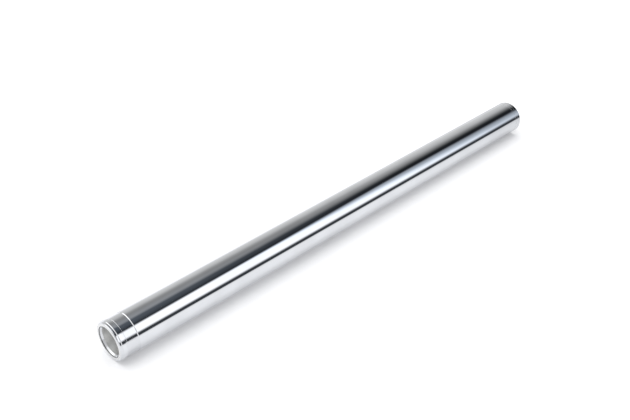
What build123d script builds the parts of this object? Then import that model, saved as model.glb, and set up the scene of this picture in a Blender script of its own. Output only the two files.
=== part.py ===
from build123d import *
import os

os.makedirs("parts", exist_ok=True)

# Whole tube: it lies along X, its lower end at x = 0 and its top end at +X
tube_length = 630.0
tube_diameter = 41.0
wall_thickness = 2.8

# Lower end, outside: a nose leads the split bush up a ramp and over the lip, which then keeps it in its seat
nose_step = 0.55
nose_length = 2.55
nose_edge_round = 1.6
lip_ramp_length = 0.55
lip_width = 3.6
seat_step = 0.6
seat_width = 13.4
relief_width = 1.7
relief_depth = 0.17
relief_ramp_length = 0.17
shoulder_ramp_length = 0.6

# Lower end, inside: the wall is drawn in; a counterbore and two tapers lead to a throat for the damping rod
mouth_rim_height = 1.5
counterbore_depth = 1.2
lead_height = 1.2
lead_length = 1.7
taper_height = 1.6
taper_length = 7.5
throat_length = 5.6
throat_cone_length = 6.4

# Top end: a smooth seat for the cap's seal ring, then the cap's thread
thread_height = 0.8
thread_length = 18.0
thread_run_out_length = 1.0
seal_seat_clearance = 0.3
seal_seat_depth = 7.0
seal_seat_ramp_length = 0.5
top_inner_chamfer = 0.4
top_outer_chamfer = 0.8

# Fine rings turned near the top end show how far the tube stands out of its clamps
ring_mark_from_top = 5.2
ring_mark_spacing = 4.4
ring_mark_width = 0.4
ring_mark_depth = 0.15

tube_radius = tube_diameter / 2
main_bore_radius = tube_radius - wall_thickness
nose_radius = tube_radius - nose_step
seat_radius = tube_radius - seat_step
relief_radius = seat_radius - relief_depth
counterbore_radius = main_bore_radius - mouth_rim_height
lead_radius = counterbore_radius - lead_height
throat_radius = lead_radius - taper_height
thread_radius = main_bore_radius + thread_height
seal_seat_radius = thread_radius + seal_seat_clearance

lip_start = nose_length + lip_ramp_length
seat_start = lip_start + lip_width
relief_end = seat_start + relief_width
seat_end = seat_start + seat_width
lead_end = counterbore_depth + lead_length
taper_end = lead_end + taper_length
throat_end = taper_end + throat_length
throat_cone_end = throat_end + throat_cone_length
seal_seat_start = tube_length - seal_seat_depth
thread_end = seal_seat_start - seal_seat_ramp_length
thread_start = thread_end - thread_length
thread_run_out_start = thread_start - thread_run_out_length

with BuildPart() as fork_tube:
    # Round steel bar at the finished outside size
    with BuildSketch(Plane.YZ):
        Circle(tube_radius)
    extrude(amount=tube_length)

    # Nose, cut back to lead the bush on, with the ramp up to the lip
    with BuildSketch(Plane.XZ):
        with BuildLine():
            Polyline(
                (0, nose_radius),
                (nose_length, nose_radius),
                (lip_start, tube_radius),
                (0, tube_radius),
                close=True,
            )
        make_face()
    revolve(axis=Axis.X, mode=Mode.SUBTRACT)

    # Bush seat between lip and shoulder, with a relief for the grinding wheel behind the lip
    with BuildSketch(Plane.XZ):
        with BuildLine():
            Polyline(
                (seat_start, tube_radius),
                (seat_start, relief_radius),
                (relief_end, relief_radius),
                (relief_end + relief_ramp_length, seat_radius),
                (seat_end, seat_radius),
                (seat_end + shoulder_ramp_length, tube_radius),
                close=True,
            )
        make_face()
    revolve(axis=Axis.X, mode=Mode.SUBTRACT)

    # Bores from end to end: counterbore, tapers, throat, cone, main bore, thread and seal seat
    with BuildSketch(Plane.XZ):
        with BuildLine():
            Polyline(
                (0, 0),
                (0, counterbore_radius),
                (counterbore_depth, counterbore_radius),
                (lead_end, lead_radius),
                (taper_end, throat_radius),
                (throat_end, throat_radius),
                (throat_cone_end, main_bore_radius),
                (thread_run_out_start, main_bore_radius),
                (thread_start, thread_radius),
                (thread_end, thread_radius),
                (seal_seat_start, seal_seat_radius),
                (tube_length, seal_seat_radius),
                (tube_length, 0),
                close=True,
            )
        make_face()
    revolve(axis=Axis.X, mode=Mode.SUBTRACT)

    # Edges of the two end faces, sorted from the bore outwards
    lower_outer_edge = fork_tube.faces().sort_by(Axis.X)[0].edges().sort_by(SortBy.RADIUS)[-1]
    top_inner_edge, top_outer_edge = fork_tube.faces().sort_by(Axis.X)[-1].edges().sort_by(SortBy.RADIUS)
    fillet(lower_outer_edge, radius=nose_edge_round)
    chamfer(top_inner_edge, length=top_inner_chamfer)
    chamfer(top_outer_edge, length=top_outer_chamfer)

    # Ring marks
    with BuildSketch(Plane.XZ):
        with Locations(
            (tube_length - ring_mark_from_top, tube_radius),
            (tube_length - ring_mark_from_top - ring_mark_spacing, tube_radius),
        ):
            Rectangle(ring_mark_width, 2 * ring_mark_depth)
    revolve(axis=Axis.X, mode=Mode.SUBTRACT)

fork_tube.part.label = "fork_tube"
export_step(fork_tube.part, "parts/fork_tube.step")
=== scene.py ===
# %% [markdown]
# # A hard-chromed fork tube
# The tube is one turned and ground piece of steel, with a bush seat at its lower end and a cap
# thread inside its top end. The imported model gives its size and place. This lesson swaps it for a
# finer skin of the same shape, gives each zone the finish it has on the bench, and lights it as a
# product on a white table.

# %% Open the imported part
import math

import bpy
import numpy as np
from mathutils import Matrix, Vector


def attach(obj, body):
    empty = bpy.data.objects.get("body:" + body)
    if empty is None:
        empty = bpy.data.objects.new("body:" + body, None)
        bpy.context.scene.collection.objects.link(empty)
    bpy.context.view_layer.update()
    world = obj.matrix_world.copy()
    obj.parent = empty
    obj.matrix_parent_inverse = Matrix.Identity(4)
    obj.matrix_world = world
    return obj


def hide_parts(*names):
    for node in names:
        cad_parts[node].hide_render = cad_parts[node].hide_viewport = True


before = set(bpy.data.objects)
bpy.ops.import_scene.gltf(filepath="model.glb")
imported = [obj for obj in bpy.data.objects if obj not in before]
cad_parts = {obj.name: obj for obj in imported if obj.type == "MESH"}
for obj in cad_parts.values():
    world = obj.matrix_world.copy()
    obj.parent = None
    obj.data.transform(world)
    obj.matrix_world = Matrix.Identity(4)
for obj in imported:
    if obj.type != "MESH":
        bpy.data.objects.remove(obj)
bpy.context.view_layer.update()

scene = bpy.context.scene
scene.view_settings.view_transform = "Standard"

# %% [markdown]
# ## The camera
# A long lens from a step away shows the tube as it lay on the table: the lower end near the
# camera and the top end further off. A plain direction is enough to aim it, because the horizon
# is level.

# %% Place the camera
camera = bpy.data.objects.new("camera", bpy.data.cameras.new("camera"))
scene.collection.objects.link(camera)
camera.location = (-0.2676, -0.5365, 0.5241)
look = Vector((0.5860, 0.5908, -0.5546))
camera.rotation_mode = "QUATERNION"
camera.rotation_quaternion = look.to_track_quat("-Z", "Y")
camera.data.sensor_width = 36.0
camera.data.lens = 48.0
camera.data.clip_end = 50.0
scene.camera = camera
print("camera looks down by", round(math.degrees(math.asin(-look.normalized().z)), 1), "degrees")

# %% [markdown]
# ## The tube's sizes
# A lathe piece is fully told by half of its section: a list of corners, each with its place along
# the axis and its radius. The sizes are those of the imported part, in millimetres, so the skin lies
# on the same surfaces.

# %% Sizes of the wall and the lower end
tube_length = 630.0
tube_radius = 20.5
main_bore_radius = 17.7
nose_radius = 19.95
nose_length = 2.55
lip_start = 3.1
lip_end = 6.7
relief_end = 8.4
relief_radius = 19.73
seat_start = 8.57
seat_radius = 19.9
seat_end = 20.1
shoulder_end = 20.7
mouth_counterbore_radius = 16.2
mouth_counterbore_end = 1.2
mouth_lead_end = 2.9
mouth_lead_radius = 15.0
mouth_taper_end = 10.4
mouth_radius = 13.4
mouth_end = 16.0
mouth_cone_end = 22.4
print("length to diameter:", round(tube_length / (2 * tube_radius), 2))

# %% Sizes of the top end
thread_run_out_start = 603.5
thread_start = 604.5
thread_end = 622.5
thread_radius = 18.5
thread_height = 0.8
thread_pitch = 1.5
seal_seat_start = 623.0
seal_seat_radius = 18.8
inner_chamfer_start = 629.6
inner_chamfer_radius = 19.2
outer_chamfer_start = 629.2
outer_chamfer_radius = 19.7
first_mark_start, first_mark_end = 620.2, 620.6
second_mark_start, second_mark_end = 624.6, 625.0
ring_mark_radius = tube_radius - 0.15
print("turns of thread:", (thread_end - thread_start) / thread_pitch)

# %% [markdown]
# ## The section, with broken edges
# No real corner is perfectly sharp: a ground or turned edge is broken by a tenth of a millimetre,
# and that small round is what catches the light. So every corner of the section gets a small arc.
# All arcs are worked out at once, as arrays. The true normal of each point is kept too, because a
# mirror finish shows every error of a guessed normal.


# %% Round the corners of a closed section
def rounded_section(corners, radii, steps):
    """Points and normals of a closed section whose corners are arcs.

    At a corner with unit directions u in and v out, the arc starts at corner - cut * u and turns
    by the angle between u and v, with cut = radius * tan(turn / 2). Its centre lies to the side the
    section turns to. The normal is the direction of travel turned a quarter to the left.
    """
    corners, radii = np.asarray(corners, float), np.asarray(radii, float)
    into = corners - np.roll(corners, 1, axis=0)
    into /= np.linalg.norm(into, axis=1, keepdims=True)
    out = np.roll(into, -1, axis=0)
    turn = np.arctan2(into[:, 0] * out[:, 1] - into[:, 1] * out[:, 0], (into * out).sum(axis=1))
    cut = radii * np.tan(np.abs(turn) / 2)
    start = corners - cut[:, None] * into
    left = np.stack([-into[:, 1], into[:, 0]], axis=1)
    left_x, left_r = left[:, :1], left[:, 1:]
    side = np.sign(turn)[:, None]
    centre = start + side * radii[:, None] * left
    angle = turn[:, None] * np.linspace(0, 1, steps)
    cos, sin = np.cos(angle), np.sin(angle)
    normal = np.stack([cos * left_x - sin * left_r, sin * left_x + cos * left_r], axis=2)
    points = centre[:, None, :] - side[:, None, :] * radii[:, None, None] * normal
    return points.reshape(-1, 2), normal.reshape(-1, 2)


# %% [markdown]
# ## Walking round the section
# The walk starts on the lower end face, goes outside over nose, ramp, lip, relief, seat and
# shoulder, along the chromed wall to the top, and comes back through the thread and the bore.
# Each row holds the place along the axis, the radius, the radius of the broken edge, and the
# finish of the stretch that follows.

# %% List the corners
CHROME, SEAT, FACE, BORE, THREAD = range(5)
ARC_STEPS = 5
section = [
    (0.0, nose_radius, 1.6, SEAT),
    (nose_length, nose_radius, 0.05, SEAT),
    (lip_start, tube_radius, 0.05, CHROME),
    (lip_end, tube_radius, 0.08, SEAT),
    (lip_end, relief_radius, 0.08, SEAT),
    (relief_end, relief_radius, 0.03, SEAT),
    (seat_start, seat_radius, 0.03, SEAT),
    (seat_end, seat_radius, 0.05, SEAT),
    (shoulder_end, tube_radius, 0.05, CHROME),
    (first_mark_start, tube_radius, 0.05, CHROME),
    (first_mark_start, ring_mark_radius, 0.03, CHROME),
    (first_mark_end, ring_mark_radius, 0.03, CHROME),
    (first_mark_end, tube_radius, 0.05, CHROME),
    (second_mark_start, tube_radius, 0.05, CHROME),
    (second_mark_start, ring_mark_radius, 0.03, CHROME),
    (second_mark_end, ring_mark_radius, 0.03, CHROME),
    (second_mark_end, tube_radius, 0.05, CHROME),
    (outer_chamfer_start, tube_radius, 0.10, FACE),
    (tube_length, outer_chamfer_radius, 0.10, FACE),
    (tube_length, inner_chamfer_radius, 0.08, FACE),
    (inner_chamfer_start, seal_seat_radius, 0.08, BORE),
    (seal_seat_start, seal_seat_radius, 0.10, THREAD),
    (thread_end, thread_radius, 0.10, THREAD),
    (thread_start, thread_radius, 0.10, THREAD),
    (thread_run_out_start, main_bore_radius, 0.15, BORE),
    (mouth_cone_end, main_bore_radius, 0.50, BORE),
    (mouth_end, mouth_radius, 0.50, BORE),
    (mouth_taper_end, mouth_radius, 0.50, BORE),
    (mouth_lead_end, mouth_lead_radius, 0.10, SEAT),
    (mouth_counterbore_end, mouth_counterbore_radius, 0.10, SEAT),
    (0.0, mouth_counterbore_radius, 0.15, FACE),
]
corners = np.array([row[:2] for row in section])
arc_radii = np.array([row[2] for row in section])
finish_after = np.array([row[3] for row in section])
points, normals = rounded_section(corners, arc_radii, ARC_STEPS)
ring_finish = np.repeat(finish_after, ARC_STEPS)
print("section rings:", len(points))

# %% [markdown]
# ## Turning the section
# Carried round the axis, the section becomes a grid of rings and angles. The cap thread is cut in
# the same grid: extra rings are laid between the ends of the threaded stretch, and a wave that
# climbs one pitch a turn is taken from their radius. So thread and tube are one closed surface.

# %% Lay extra rings where the thread is
RINGS_PER_TURN = 12
thread_corner = int(np.flatnonzero((corners == (thread_end, thread_radius)).all(axis=1))[0])
thread_ring = thread_corner * ARC_STEPS + ARC_STEPS - 1
first, last = points[thread_ring], points[thread_ring + 1]
thread_steps = RINGS_PER_TURN * round((thread_end - thread_start) / thread_pitch)
share = np.linspace(0, 1, thread_steps + 2)[1:-1, None]
thread_points = first + share * (last - first)
thread_normals = np.repeat(normals[thread_ring : thread_ring + 1], thread_steps, axis=0)
points = np.insert(points, thread_ring + 1, thread_points, axis=0)
normals = np.insert(normals, thread_ring + 1, thread_normals, axis=0)
ring_finish = np.insert(ring_finish, thread_ring + 1, np.full(thread_steps, THREAD))
print("thread from", first.round(2), "to", last.round(2))


# %% Carry the section round the axis
def turned_grid(points, normals, count):
    """Places and normals of a section (x, r) turned round the X axis, rings by angles.

    Place: (x, r cos a, r sin a). In the threaded stretch r loses h * (1 - cos(2 pi t)) / 2, where
    t = x / pitch - a / (2 pi) counts turns of the helix and h fades at both ends over half a turn.
    Its normal leans by the slopes of r along x and along a.
    """
    a = np.arange(count) * (2 * np.pi / count)
    x, r = points[:, :1], points[:, 1:]
    fade = np.clip(np.minimum(x - thread_start, thread_end - x) / (0.5 * thread_pitch), 0, 1)
    inside = r < tube_radius - 1
    height = np.where(inside, thread_height * fade, 0.0)
    phase = 2 * np.pi * (x / thread_pitch - a / (2 * np.pi))
    radius = r - height * (1 - np.cos(phase)) / 2
    lean = height * np.sin(phase) * np.pi / thread_pitch
    twist = height * np.sin(phase) / 2 / radius
    out = np.stack([normals[:, :1] - lean, normals[:, 1:] + 0 * lean, twist], axis=2)
    out /= np.linalg.norm(out, axis=2, keepdims=True)
    out_x, out_r, out_a = out[..., 0], out[..., 1], out[..., 2]
    cos, sin = np.cos(a), np.sin(a)
    place = np.stack([x + 0 * radius, radius * cos, radius * sin], axis=2)
    facing = np.stack([out_x, out_r * cos - out_a * sin, out_r * sin + out_a * cos], axis=2)
    return place / 1000, facing


AROUND = 240
place, facing = turned_grid(points, normals, AROUND)
print("grid:", place.shape[:2])


# %% Close the grid into a skin
def closed_skin(name, place, facing, ring_finish):
    """Mesh object of a grid that closes on itself both ways, with its true normals."""
    rings, count = place.shape[:2]
    ring, step = np.meshgrid(np.arange(rings), np.arange(count), indexing="ij")
    next_step = (step + 1) % count
    here, ahead = ring * count, (ring + 1) % rings * count
    faces = np.stack([here + step, here + next_step, ahead + next_step, ahead + step], axis=2)
    mesh = bpy.data.meshes.new(name)
    mesh.from_pydata(place.reshape(-1, 3), [], faces.reshape(-1, 4))
    mesh.polygons.foreach_set("material_index", np.repeat(ring_finish, count))
    mesh.polygons.foreach_set("use_smooth", np.ones(rings * count, bool))
    mesh.normals_split_custom_set_from_vertices(facing.reshape(-1, 3))
    skin = bpy.data.objects.new(name, mesh)
    scene.collection.objects.link(skin)
    return skin


tube = closed_skin("turned_tube", place, facing, ring_finish)
print("faces:", len(tube.data.polygons))
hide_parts("fork_tube")
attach(tube, "root")

# %% [markdown]
# ## Helpers for materials
# Small helpers keep the node graphs readable: one adds a maths node, one a smooth step between two
# values. Effects used by several finishes are node groups with named sockets.


# %% Node helpers
def maths(tree, kind, *values):
    """A Math node fed by numbers or sockets, and its output socket."""
    node = tree.nodes.new("ShaderNodeMath")
    node.operation = kind
    for socket, value in zip(node.inputs, values):
        if isinstance(value, (int, float)):
            socket.default_value = value
        else:
            tree.links.new(value, socket)
    return node.outputs[0]


def smooth_step(tree, value, start, end, low=0.0, high=1.0):
    """A value that goes smoothly from low at start to high at end."""
    node = tree.nodes.new("ShaderNodeMapRange")
    node.interpolation_type = "SMOOTHSTEP"
    node.inputs["From Min"].default_value = start
    node.inputs["From Max"].default_value = end
    node.inputs["To Min"].default_value = low
    node.inputs["To Max"].default_value = high
    tree.links.new(value, node.inputs["Value"])
    return node.outputs["Result"]


def new_group(name, inputs, outputs):
    """A shader node group with number inputs {name: default} and number outputs."""
    group = bpy.data.node_groups.new(name, "ShaderNodeTree")
    for title, value in inputs.items():
        socket = group.interface.new_socket(title, in_out="INPUT", socket_type="NodeSocketFloat")
        socket.default_value = value
    for title in outputs:
        group.interface.new_socket(title, in_out="OUTPUT", socket_type="NodeSocketFloat")
    return group, group.nodes.new("NodeGroupInput"), group.nodes.new("NodeGroupOutput")


# %% [markdown]
# ## Tool lines
# A lathe tool or a grinding wheel leaves fine lines round the axis, on walls and on end faces
# alike. The pattern is a noise that changes quickly along the section and slowly round it. The
# distance along the section is taken as x plus a share of the radius, which also changes on flat
# faces and on both kinds of ramp. Round the axis the noise reads the unit circle, so it has no seam.


# %% Tool lines as a node group
def tool_lines_group():
    """Height, streak and patch of fine lines round the X axis, read from Object coordinates.

    The noise is read at ((x + 0.37 r) * lines, y / r * wander, z / r * wander).
    """
    inputs = {"Lines per metre": 9000.0, "Wander": 1.5, "Patch size": 0.03}
    group, given, result = new_group("tool lines", inputs, ["Height", "Streak", "Patch"])
    where = group.nodes.new("ShaderNodeTexCoord").outputs["Object"]
    split = group.nodes.new("ShaderNodeSeparateXYZ")
    group.links.new(where, split.inputs[0])
    x, y, z = split.outputs
    y_squared, z_squared = maths(group, "MULTIPLY", y, y), maths(group, "MULTIPLY", z, z)
    radius = maths(group, "SQRT", maths(group, "ADD", y_squared, z_squared))
    along = maths(group, "MULTIPLY_ADD", radius, 0.37, x)
    join = group.nodes.new("ShaderNodeCombineXYZ")
    group.links.new(maths(group, "MULTIPLY", along, given.outputs["Lines per metre"]), join.inputs[0])
    for index, side in ((1, y), (2, z)):
        on_circle = maths(group, "DIVIDE", side, radius)
        group.links.new(maths(group, "MULTIPLY", on_circle, given.outputs["Wander"]), join.inputs[index])
    lines = group.nodes.new("ShaderNodeTexNoise")
    lines.inputs["Scale"].default_value = 1.0
    lines.inputs["Detail"].default_value = 3.0
    group.links.new(join.outputs[0], lines.inputs["Vector"])
    group.links.new(lines.outputs["Fac"], result.inputs["Height"])
    group.links.new(smooth_step(group, lines.outputs["Fac"], 0.35, 0.75), result.inputs["Streak"])
    patches = group.nodes.new("ShaderNodeTexNoise")
    group.links.new(where, patches.inputs["Vector"])
    group.links.new(maths(group, "DIVIDE", 1.0, given.outputs["Patch size"]), patches.inputs["Scale"])
    patches.inputs["Detail"].default_value = 2.0
    group.links.new(smooth_step(group, patches.outputs["Fac"], 0.3, 0.7), result.inputs["Patch"])
    return group


tool_lines = tool_lines_group()
print("group sockets:", [item.name for item in tool_lines.interface.items_tree])

# %% [markdown]
# ## Metal finishes
# All zones are the same steel, seen bare or through a few hundredths of a millimetre of chrome.
# They differ in tint, in how sharp their reflections are and in how deep the tool lines run. So one
# function makes them all from a few values, and each call says what the zone is.


# %% One metal finish
def metal(name, tint, roughness, streak_roughness, patch_roughness, line_depth, lines):
    """A metallic material whose roughness and tint follow tool lines and soft patches.

    Roughness: roughness + streak * streak_roughness + patch * patch_roughness. The line depth is
    in millimetres, and lines counts them along a metre.
    """
    material = bpy.data.materials.new(name)
    material.use_nodes = True
    tree = material.node_tree
    shader = tree.nodes["Principled BSDF"]
    shader.inputs["Metallic"].default_value = 1.0
    pattern = tree.nodes.new("ShaderNodeGroup")
    pattern.node_tree = tool_lines
    pattern.inputs["Lines per metre"].default_value = lines
    mix = tree.nodes.new("ShaderNodeMix")
    mix.data_type = "RGBA"
    mix.inputs["A"].default_value = (*[c * (1 - PATCH_TINT) for c in tint], 1)
    mix.inputs["B"].default_value = (*[min(1, c * (1 + PATCH_TINT)) for c in tint], 1)
    tree.links.new(pattern.outputs["Patch"], mix.inputs["Factor"])
    tree.links.new(mix.outputs["Result"], shader.inputs["Base Color"])
    rough = maths(tree, "MULTIPLY_ADD", pattern.outputs["Streak"], streak_roughness, roughness)
    rough = maths(tree, "MULTIPLY_ADD", pattern.outputs["Patch"], patch_roughness, rough)
    tree.links.new(rough, shader.inputs["Roughness"])
    bump = tree.nodes.new("ShaderNodeBump")
    bump.inputs["Strength"].default_value = 1.0
    bump.inputs["Distance"].default_value = line_depth / 1000
    tree.links.new(pattern.outputs["Height"], bump.inputs["Height"])
    tree.links.new(bump.outputs["Normal"], shader.inputs["Normal"])
    return material


# %% The five finishes
PATCH_TINT = 0.03
finishes = [
    metal("polished_chrome", (0.62, 0.63, 0.65), 0.035, 0.02, 0.02, 0.00002, 6000.0),
    metal("ground_seat", (0.59, 0.60, 0.62), 0.06, 0.04, 0.03, 0.0001, 4000.0),
    metal("turned_face", (0.64, 0.64, 0.64), 0.22, 0.10, 0.04, 0.0008, 3000.0),
    metal("drawn_bore", (0.70, 0.70, 0.69), 0.36, 0.10, 0.06, 0.002, 2500.0),
    metal("cut_thread", (0.56, 0.56, 0.56), 0.25, 0.10, 0.05, 0.0004, 4000.0),
]
for finish in finishes:
    tube.data.materials.append(finish)
print("finishes:", [finish.name for finish in finishes])

# %% [markdown]
# ## The surroundings
# Polished chrome has hardly a look of its own: what it shows is the room. A product studio has a
# wide soft box on one side, a dark gap beside and below it, a grey ceiling that gets lighter
# towards the back, and white paper all round. Reflections see that room by direction alone, so the
# world is painted by azimuth and elevation. The camera sees plain white, and the floor and other
# dull surfaces are lit by an even grey.

# %% Azimuth and elevation of a direction
world = bpy.data.worlds.new("studio")
scene.world = world
world.use_nodes = True
room = world.node_tree
room.nodes.clear()
direction = room.nodes.new("ShaderNodeTexCoord").outputs["Generated"]
split = room.nodes.new("ShaderNodeSeparateXYZ")
room.links.new(direction, split.inputs[0])
azimuth = maths(room, "DEGREES", maths(room, "ARCTAN2", split.outputs["Y"], split.outputs["X"]))
elevation = maths(room, "DEGREES", maths(room, "ARCSINE", split.outputs["Z"]))
turned_left = maths(room, "WRAP", azimuth, 360.0, 0.0)


def product(*sockets):
    """All sockets multiplied."""
    total = sockets[0]
    for socket in sockets[1:]:
        total = maths(room, "MULTIPLY", total, socket)
    return total


def band(socket, low_out, low_in, high_in, high_out):
    """1 between low_in and high_in, fading to 0 at low_out and high_out."""
    rise = smooth_step(room, socket, low_out, low_in)
    fall = smooth_step(room, socket, high_in, high_out, 1.0, 0.0)
    return product(rise, fall)


# %% [markdown]
# ## The backdrop
# The backdrop is given by levels at a few elevations, with a soft curve between them: white paper
# low down, and a grey that deepens overhead. It fills the back half of the room.

# %% Levels of the backdrop
backdrop = room.nodes.new("ShaderNodeValToRGB")
backdrop.color_ramp.interpolation = "B_SPLINE"
stops = [
    (-90, 1.0), (3, 1.0), (10, 0.86), (22, 0.80), (32, 0.68), (40, 0.46), (50, 0.31), (66, 0.29), (90, 0.25),
]
ramp = backdrop.color_ramp.elements
while len(ramp) < len(stops):
    ramp.new(1.0)
for element, (angle, level) in zip(ramp, stops):
    element.position = (angle + 90) / 180
    element.color = (level, level, level, 1)
room.links.new(maths(room, "MULTIPLY_ADD", elevation, 1 / 180, 0.5), backdrop.inputs[0])
back_side = product(smooth_step(room, azimuth, -10, 30), smooth_step(room, azimuth, 178, 150))
back_light = product(backdrop.outputs[0], back_side)
ceiling = smooth_step(room, elevation, 45, 75, 0.0, 0.14)
gap = smooth_step(room, elevation, 10, 0, 0.02, 0.08)
print("levels of the backdrop:", len(stops))

# %% [markdown]
# ## Soft box and cards
# Each light of the room is a patch of directions with soft edges. The soft box stands at the
# front and leans a little; it is bright at the tube's lower end and falls off, and turns bluer,
# towards the top end. Two cards to the left and a pale wall at the front fill the rest.

# %% Levels of the lights
tilted = maths(room, "MULTIPLY_ADD", azimuth, 0.12, maths(room, "ADD", elevation, 6.0))
box_level = smooth_step(room, azimuth, -46, -32, 1.6, 0.62)
soft_box = product(band(azimuth, -110, -90, -34, -17), band(tilted, 5, 18, 43, 53), box_level)
far_box = product(soft_box, smooth_step(room, azimuth, -52, -34))
near_box = maths(room, "SUBTRACT", soft_box, far_box)
side_patch = product(band(turned_left, 105, 125, 186, 212), band(elevation, 6, 16, 48, 62))
side_card = maths(room, "MULTIPLY", side_patch, 1.4)
top_patch = product(band(turned_left, 110, 150, 215, 250), smooth_step(room, elevation, 55, 68))
top_card = maths(room, "MULTIPLY", top_patch, 0.9)
front_patch = product(band(turned_left, 190, 206, 255, 275), smooth_step(room, elevation, 44, 26))
front_wall = maths(room, "MULTIPLY", front_patch, 0.8)

# %% [markdown]
# ## Tints
# The lights are nearly neutral. The far part of the soft box, the ceiling and the gap are a little
# blue, as daylight in a room is. All of them are added up to one colour for each direction.


# %% Tint and add the lights
def tinted(level, tint):
    """A colour: the level times the tint."""
    node = room.nodes.new("ShaderNodeVectorMath")
    node.operation = "SCALE"
    node.inputs[0].default_value = tint
    room.links.new(level, node.inputs["Scale"])
    return node.outputs["Vector"]


def sum_of(*colours):
    """All colours added."""
    total = colours[0]
    for colour in colours[1:]:
        node = room.nodes.new("ShaderNodeVectorMath")
        node.operation = "ADD"
        room.links.new(total, node.inputs[0])
        room.links.new(colour, node.inputs[1])
        total = node.outputs["Vector"]
    return total


light = sum_of(
    tinted(maths(room, "ADD", back_light, side_card), (1.0, 1.0, 0.99)),
    tinted(maths(room, "ADD", top_card, front_wall), (1.0, 1.0, 1.0)),
    tinted(near_box, (0.99, 1.0, 1.02)),
    tinted(far_box, (0.91, 1.0, 1.12)),
    tinted(maths(room, "ADD", ceiling, gap), (0.85, 0.97, 1.15)),
)
print("room painted with", len(room.nodes), "nodes")

# %% [markdown]
# ## Three kinds of ray
# Rays that a surface mirrors see the painted room. Rays that light dull surfaces see an even grey,
# so the table is lit the same everywhere. Rays from the camera see plain white.

# %% What each kind of ray sees
studio = room.nodes.new("ShaderNodeBackground")
room.links.new(light, studio.inputs["Color"])
white = room.nodes.new("ShaderNodeBackground")
white.inputs["Color"].default_value = (1, 1, 1, 1)
even = room.nodes.new("ShaderNodeBackground")
even.inputs["Color"].default_value = (0.98, 0.99, 1.0, 1)
even.inputs["Strength"].default_value = 0.7
ray = room.nodes.new("ShaderNodeLightPath")
mirrored = maths(room, "MAXIMUM", ray.outputs["Is Glossy Ray"], ray.outputs["Is Transmission Ray"])
first_mix = room.nodes.new("ShaderNodeMixShader")
room.links.new(mirrored, first_mix.inputs[0])
room.links.new(even.outputs[0], first_mix.inputs[1])
room.links.new(studio.outputs[0], first_mix.inputs[2])
second_mix = room.nodes.new("ShaderNodeMixShader")
room.links.new(ray.outputs["Is Camera Ray"], second_mix.inputs[0])
room.links.new(first_mix.outputs[0], second_mix.inputs[1])
room.links.new(white.outputs[0], second_mix.inputs[2])
target = room.nodes.new("ShaderNodeOutputWorld")
room.links.new(second_mix.outputs[0], target.inputs["Surface"])
world.cycles.sampling_method = "NONE"
print("world nodes:", len(room.nodes))

# %% [markdown]
# ## The table
# The table is a plain white sheet just under the tube. Lit evenly it would be a light grey, so the
# camera and the chrome see a little added white, and the soft shadow beside the tube stays.

# %% Lay the table
FLOOR_HALF = 4.0
FLOOR_MIDDLE_X = 0.3
floor_z = -tube_radius / 1000
signs = ((-1, -1), (1, -1), (1, 1), (-1, 1))
floor_corners = [(sx * FLOOR_HALF + FLOOR_MIDDLE_X, sy * FLOOR_HALF, floor_z) for sx, sy in signs]
floor_mesh = bpy.data.meshes.new("table")
floor_mesh.from_pydata(floor_corners, [], [(0, 1, 2, 3)])
table = bpy.data.objects.new("table", floor_mesh)
scene.collection.objects.link(table)
print("table at z, mm:", 1000 * floor_z)
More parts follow.
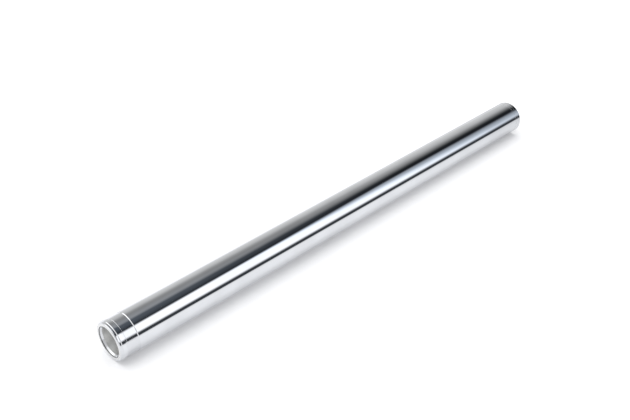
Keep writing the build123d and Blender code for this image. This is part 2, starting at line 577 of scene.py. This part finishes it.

# %% [markdown]
# ## White paper, as seen and as mirrored
# The paper is a dull white with a small glow for the camera and for reflections. In reflections
# only, painted light makes it glow a little more along the tube's lower half, and painted shade
# fades it to dark far in front, where the photographer would be, and makes it a third darker past
# the top end.

# %% Paper under the tube
paper = bpy.data.materials.new("white_paper")
paper.use_nodes = True
tree = paper.node_tree
tree.nodes.clear()
dull = tree.nodes.new("ShaderNodeBsdfDiffuse")
dull.inputs["Color"].default_value = (0.94, 0.94, 0.95, 1)
glow = tree.nodes.new("ShaderNodeEmission")
glow.inputs["Color"].default_value = (1, 1, 1, 1)
path = tree.nodes.new("ShaderNodeLightPath")
glossy = path.outputs["Is Glossy Ray"]
seen = maths(tree, "MAXIMUM", glossy, path.outputs["Is Transmission Ray"])
seen = maths(tree, "MAXIMUM", path.outputs["Is Camera Ray"], seen)
place_on_table = tree.nodes.new("ShaderNodeTexCoord").outputs["Object"]
split = tree.nodes.new("ShaderNodeSeparateXYZ")
tree.links.new(place_on_table, split.inputs[0])
table_x, table_y = split.outputs["X"], split.outputs["Y"]
# Painted light: in reflections only, the paper glows more towards the tube's lower end.
painted_reflection_glow = maths(tree, "MULTIPLY", smooth_step(tree, table_x, 0.75, 0.35, 0.0, 0.12), glossy)
tree.links.new(maths(tree, "MULTIPLY_ADD", seen, 0.12, painted_reflection_glow), glow.inputs["Strength"])
both = tree.nodes.new("ShaderNodeAddShader")
tree.links.new(dull.outputs[0], both.inputs[0])
tree.links.new(glow.outputs[0], both.inputs[1])

# %% Paint shade on what the chrome sees of it
# Painted shade: in reflections only, the paper is mixed towards black far in front and past the top end.
dark = tree.nodes.new("ShaderNodeEmission")
dark.inputs["Strength"].default_value = 0.0
stretched = maths(tree, "MULTIPLY", table_y, maths(tree, "MULTIPLY_ADD", table_x, 0.9, 1.0))
painted_far_shade = smooth_step(tree, table_x, 0.5, 1.0, 0.0, 0.35)
painted_front_shade = smooth_step(tree, stretched, -0.08, -0.8, 0.0, 0.95)
# The weight of the painted shade, for glossy rays only.
fade = maths(tree, "MULTIPLY", maths(tree, "MAXIMUM", painted_far_shade, painted_front_shade), glossy)
part = tree.nodes.new("ShaderNodeMixShader")
tree.links.new(fade, part.inputs[0])
tree.links.new(both.outputs[0], part.inputs[1])
tree.links.new(dark.outputs[0], part.inputs[2])
end = tree.nodes.new("ShaderNodeOutputMaterial")
tree.links.new(part.outputs[0], end.inputs["Surface"])
floor_mesh.materials.append(paper)
print("paper nodes:", len(tree.nodes))

# %% [markdown]
# ## One soft lamp
# The shadow is a soft one close beside the tube, so the main light comes from almost overhead, a
# little behind the tube. It is a sun sixty degrees wide, which keeps the shadow's edge soft.
# Chrome doesn't mirror it, because the room already holds what the chrome shows.

# %% Hang the lamp
lamp_data = bpy.data.lights.new("soft_lamp", "SUN")
lamp_data.energy = 1.4
lamp_data.angle = math.radians(60)
lamp = bpy.data.objects.new("soft_lamp", lamp_data)
scene.collection.objects.link(lamp)
lamp.location = (0.2, 0.25, 1.2)
middle_of_tube = Vector((0.315, 0, 0))
lamp.rotation_mode = "QUATERNION"
lamp.rotation_quaternion = (middle_of_tube - lamp.location).to_track_quat("-Z", "Y")
lamp.visible_glossy = False
print("lamp at", [round(c, 2) for c in lamp.location])
